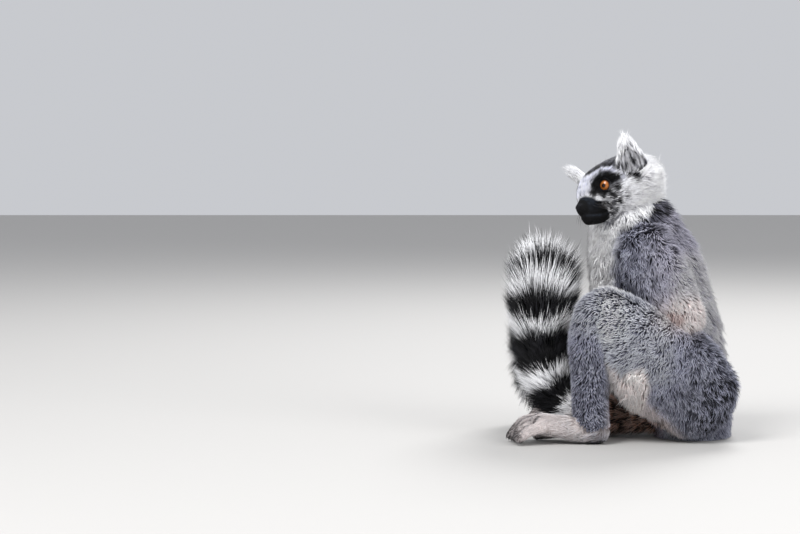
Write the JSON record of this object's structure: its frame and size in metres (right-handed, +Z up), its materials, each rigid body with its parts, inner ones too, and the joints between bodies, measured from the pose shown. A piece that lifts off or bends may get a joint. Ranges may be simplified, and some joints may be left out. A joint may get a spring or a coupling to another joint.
{
  "type": "ring-tailed lemur",
  "caption": "Life-size ring-tailed lemur sitting upright with its knees drawn up, its head turned to the left and its ringed tail raised in front.",
  "frame": {"origin": "middle of the animal's footprint box, on the ground", "axes": "+Z up, the animal's body faces -X, its left side is towards -Y"},
  "size_m": [0.2466, 0.2196, 0.328],
  "materials": {
    "grey_coat": "salt-and-pepper blue-grey fur of the limbs",
    "back_coat": "browner dark grey fur of the neck, back and shoulders",
    "white_coat": "white fur of the face, ears, throat and belly",
    "cream_coat": "cream-grey fur of the hands and feet",
    "ringed_coat": "long fur of the tail in black and white rings",
    "nose_leather": "bare black damp leather",
    "eye": "amber iris under a clear glossy cornea"
  },
  "bodies": {
    "root": {"belly": "white_coat", "chest": "white_coat", "head": "white_coat", "left_ear": "white_coat", "left_eye": "eye", "left_foot": "cream_coat", "left_forearm": "grey_coat", "left_hand": "cream_coat", "left_shank": "grey_coat", "left_thigh": "grey_coat", "left_upper_arm": "grey_coat", "lower_jaw": "white_coat", "neck": "back_coat", "nose": "nose_leather", "right_ear": "white_coat", "right_eye": "eye", "right_foot": "cream_coat", "right_forearm": "grey_coat", "right_hand": "cream_coat", "right_shank": "grey_coat", "right_thigh": "grey_coat", "right_upper_arm": "grey_coat", "rump": "back_coat", "tail_1": "ringed_coat", "tail_2": "ringed_coat", "tail_3": "ringed_coat", "tail_4": "ringed_coat", "tail_5": "ringed_coat", "tail_6": "ringed_coat", "tail_7": "ringed_coat", "tail_8": "ringed_coat"}
  },
  "joints": []
}
